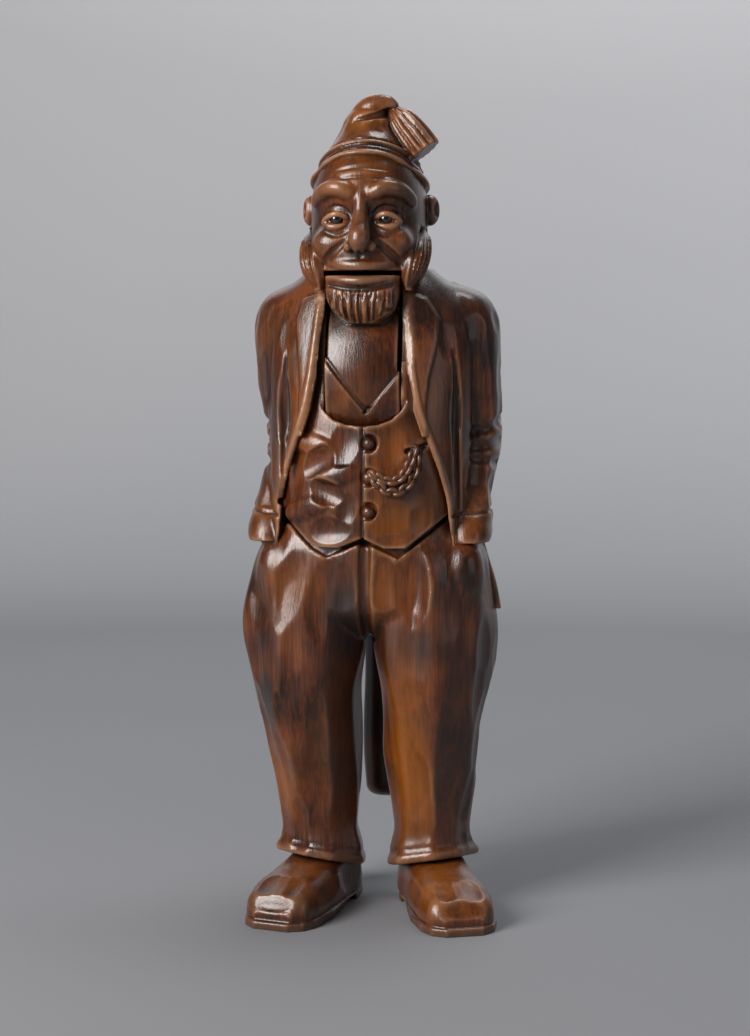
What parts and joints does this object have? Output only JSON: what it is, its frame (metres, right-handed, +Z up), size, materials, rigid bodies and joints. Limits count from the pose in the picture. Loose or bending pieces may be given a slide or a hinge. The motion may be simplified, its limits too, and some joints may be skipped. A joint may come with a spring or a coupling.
{
  "type": "figural lever nutcracker",
  "caption": "Carved wooden nutcracker shaped as a standing old man in a stocking cap; a lever handle behind the coat works the bearded jaw to crack a nut in the mouth.",
  "frame": {"origin": "on the floor, under the middle of the box round the figure and its handle", "axes": "+Z up the figure, -Y the way it faces, +X towards its left hand"},
  "size_m": [0.0654, 0.068, 0.2056],
  "materials": {
    "figure_wood": "brown stain under gloss varnish",
    "jaw_wood": "dark brown stain under gloss varnish",
    "button_wood": "dark stain, polished",
    "eye_glass": "polished dark bead",
    "pin_steel": "plain drawn rod"
  },
  "bodies": {
    "figure": {"figure_body": "figure_wood", "pivot_pin": "pin_steel", "top_button": "button_wood", "middle_button": "button_wood", "bottom_button": "button_wood", "right_eye": "eye_glass", "left_eye": "eye_glass"},
    "jaw": {"jaw_lever": "jaw_wood"}
  },
  "joints": [
    {"name": "jaw_hinge", "type": "hinge", "parent": "figure", "child": "jaw", "pos_m": [-0.00124, 0.00131, 0.137], "axis": [1, 0, 0], "range_deg": [0, 34]}
  ]
}
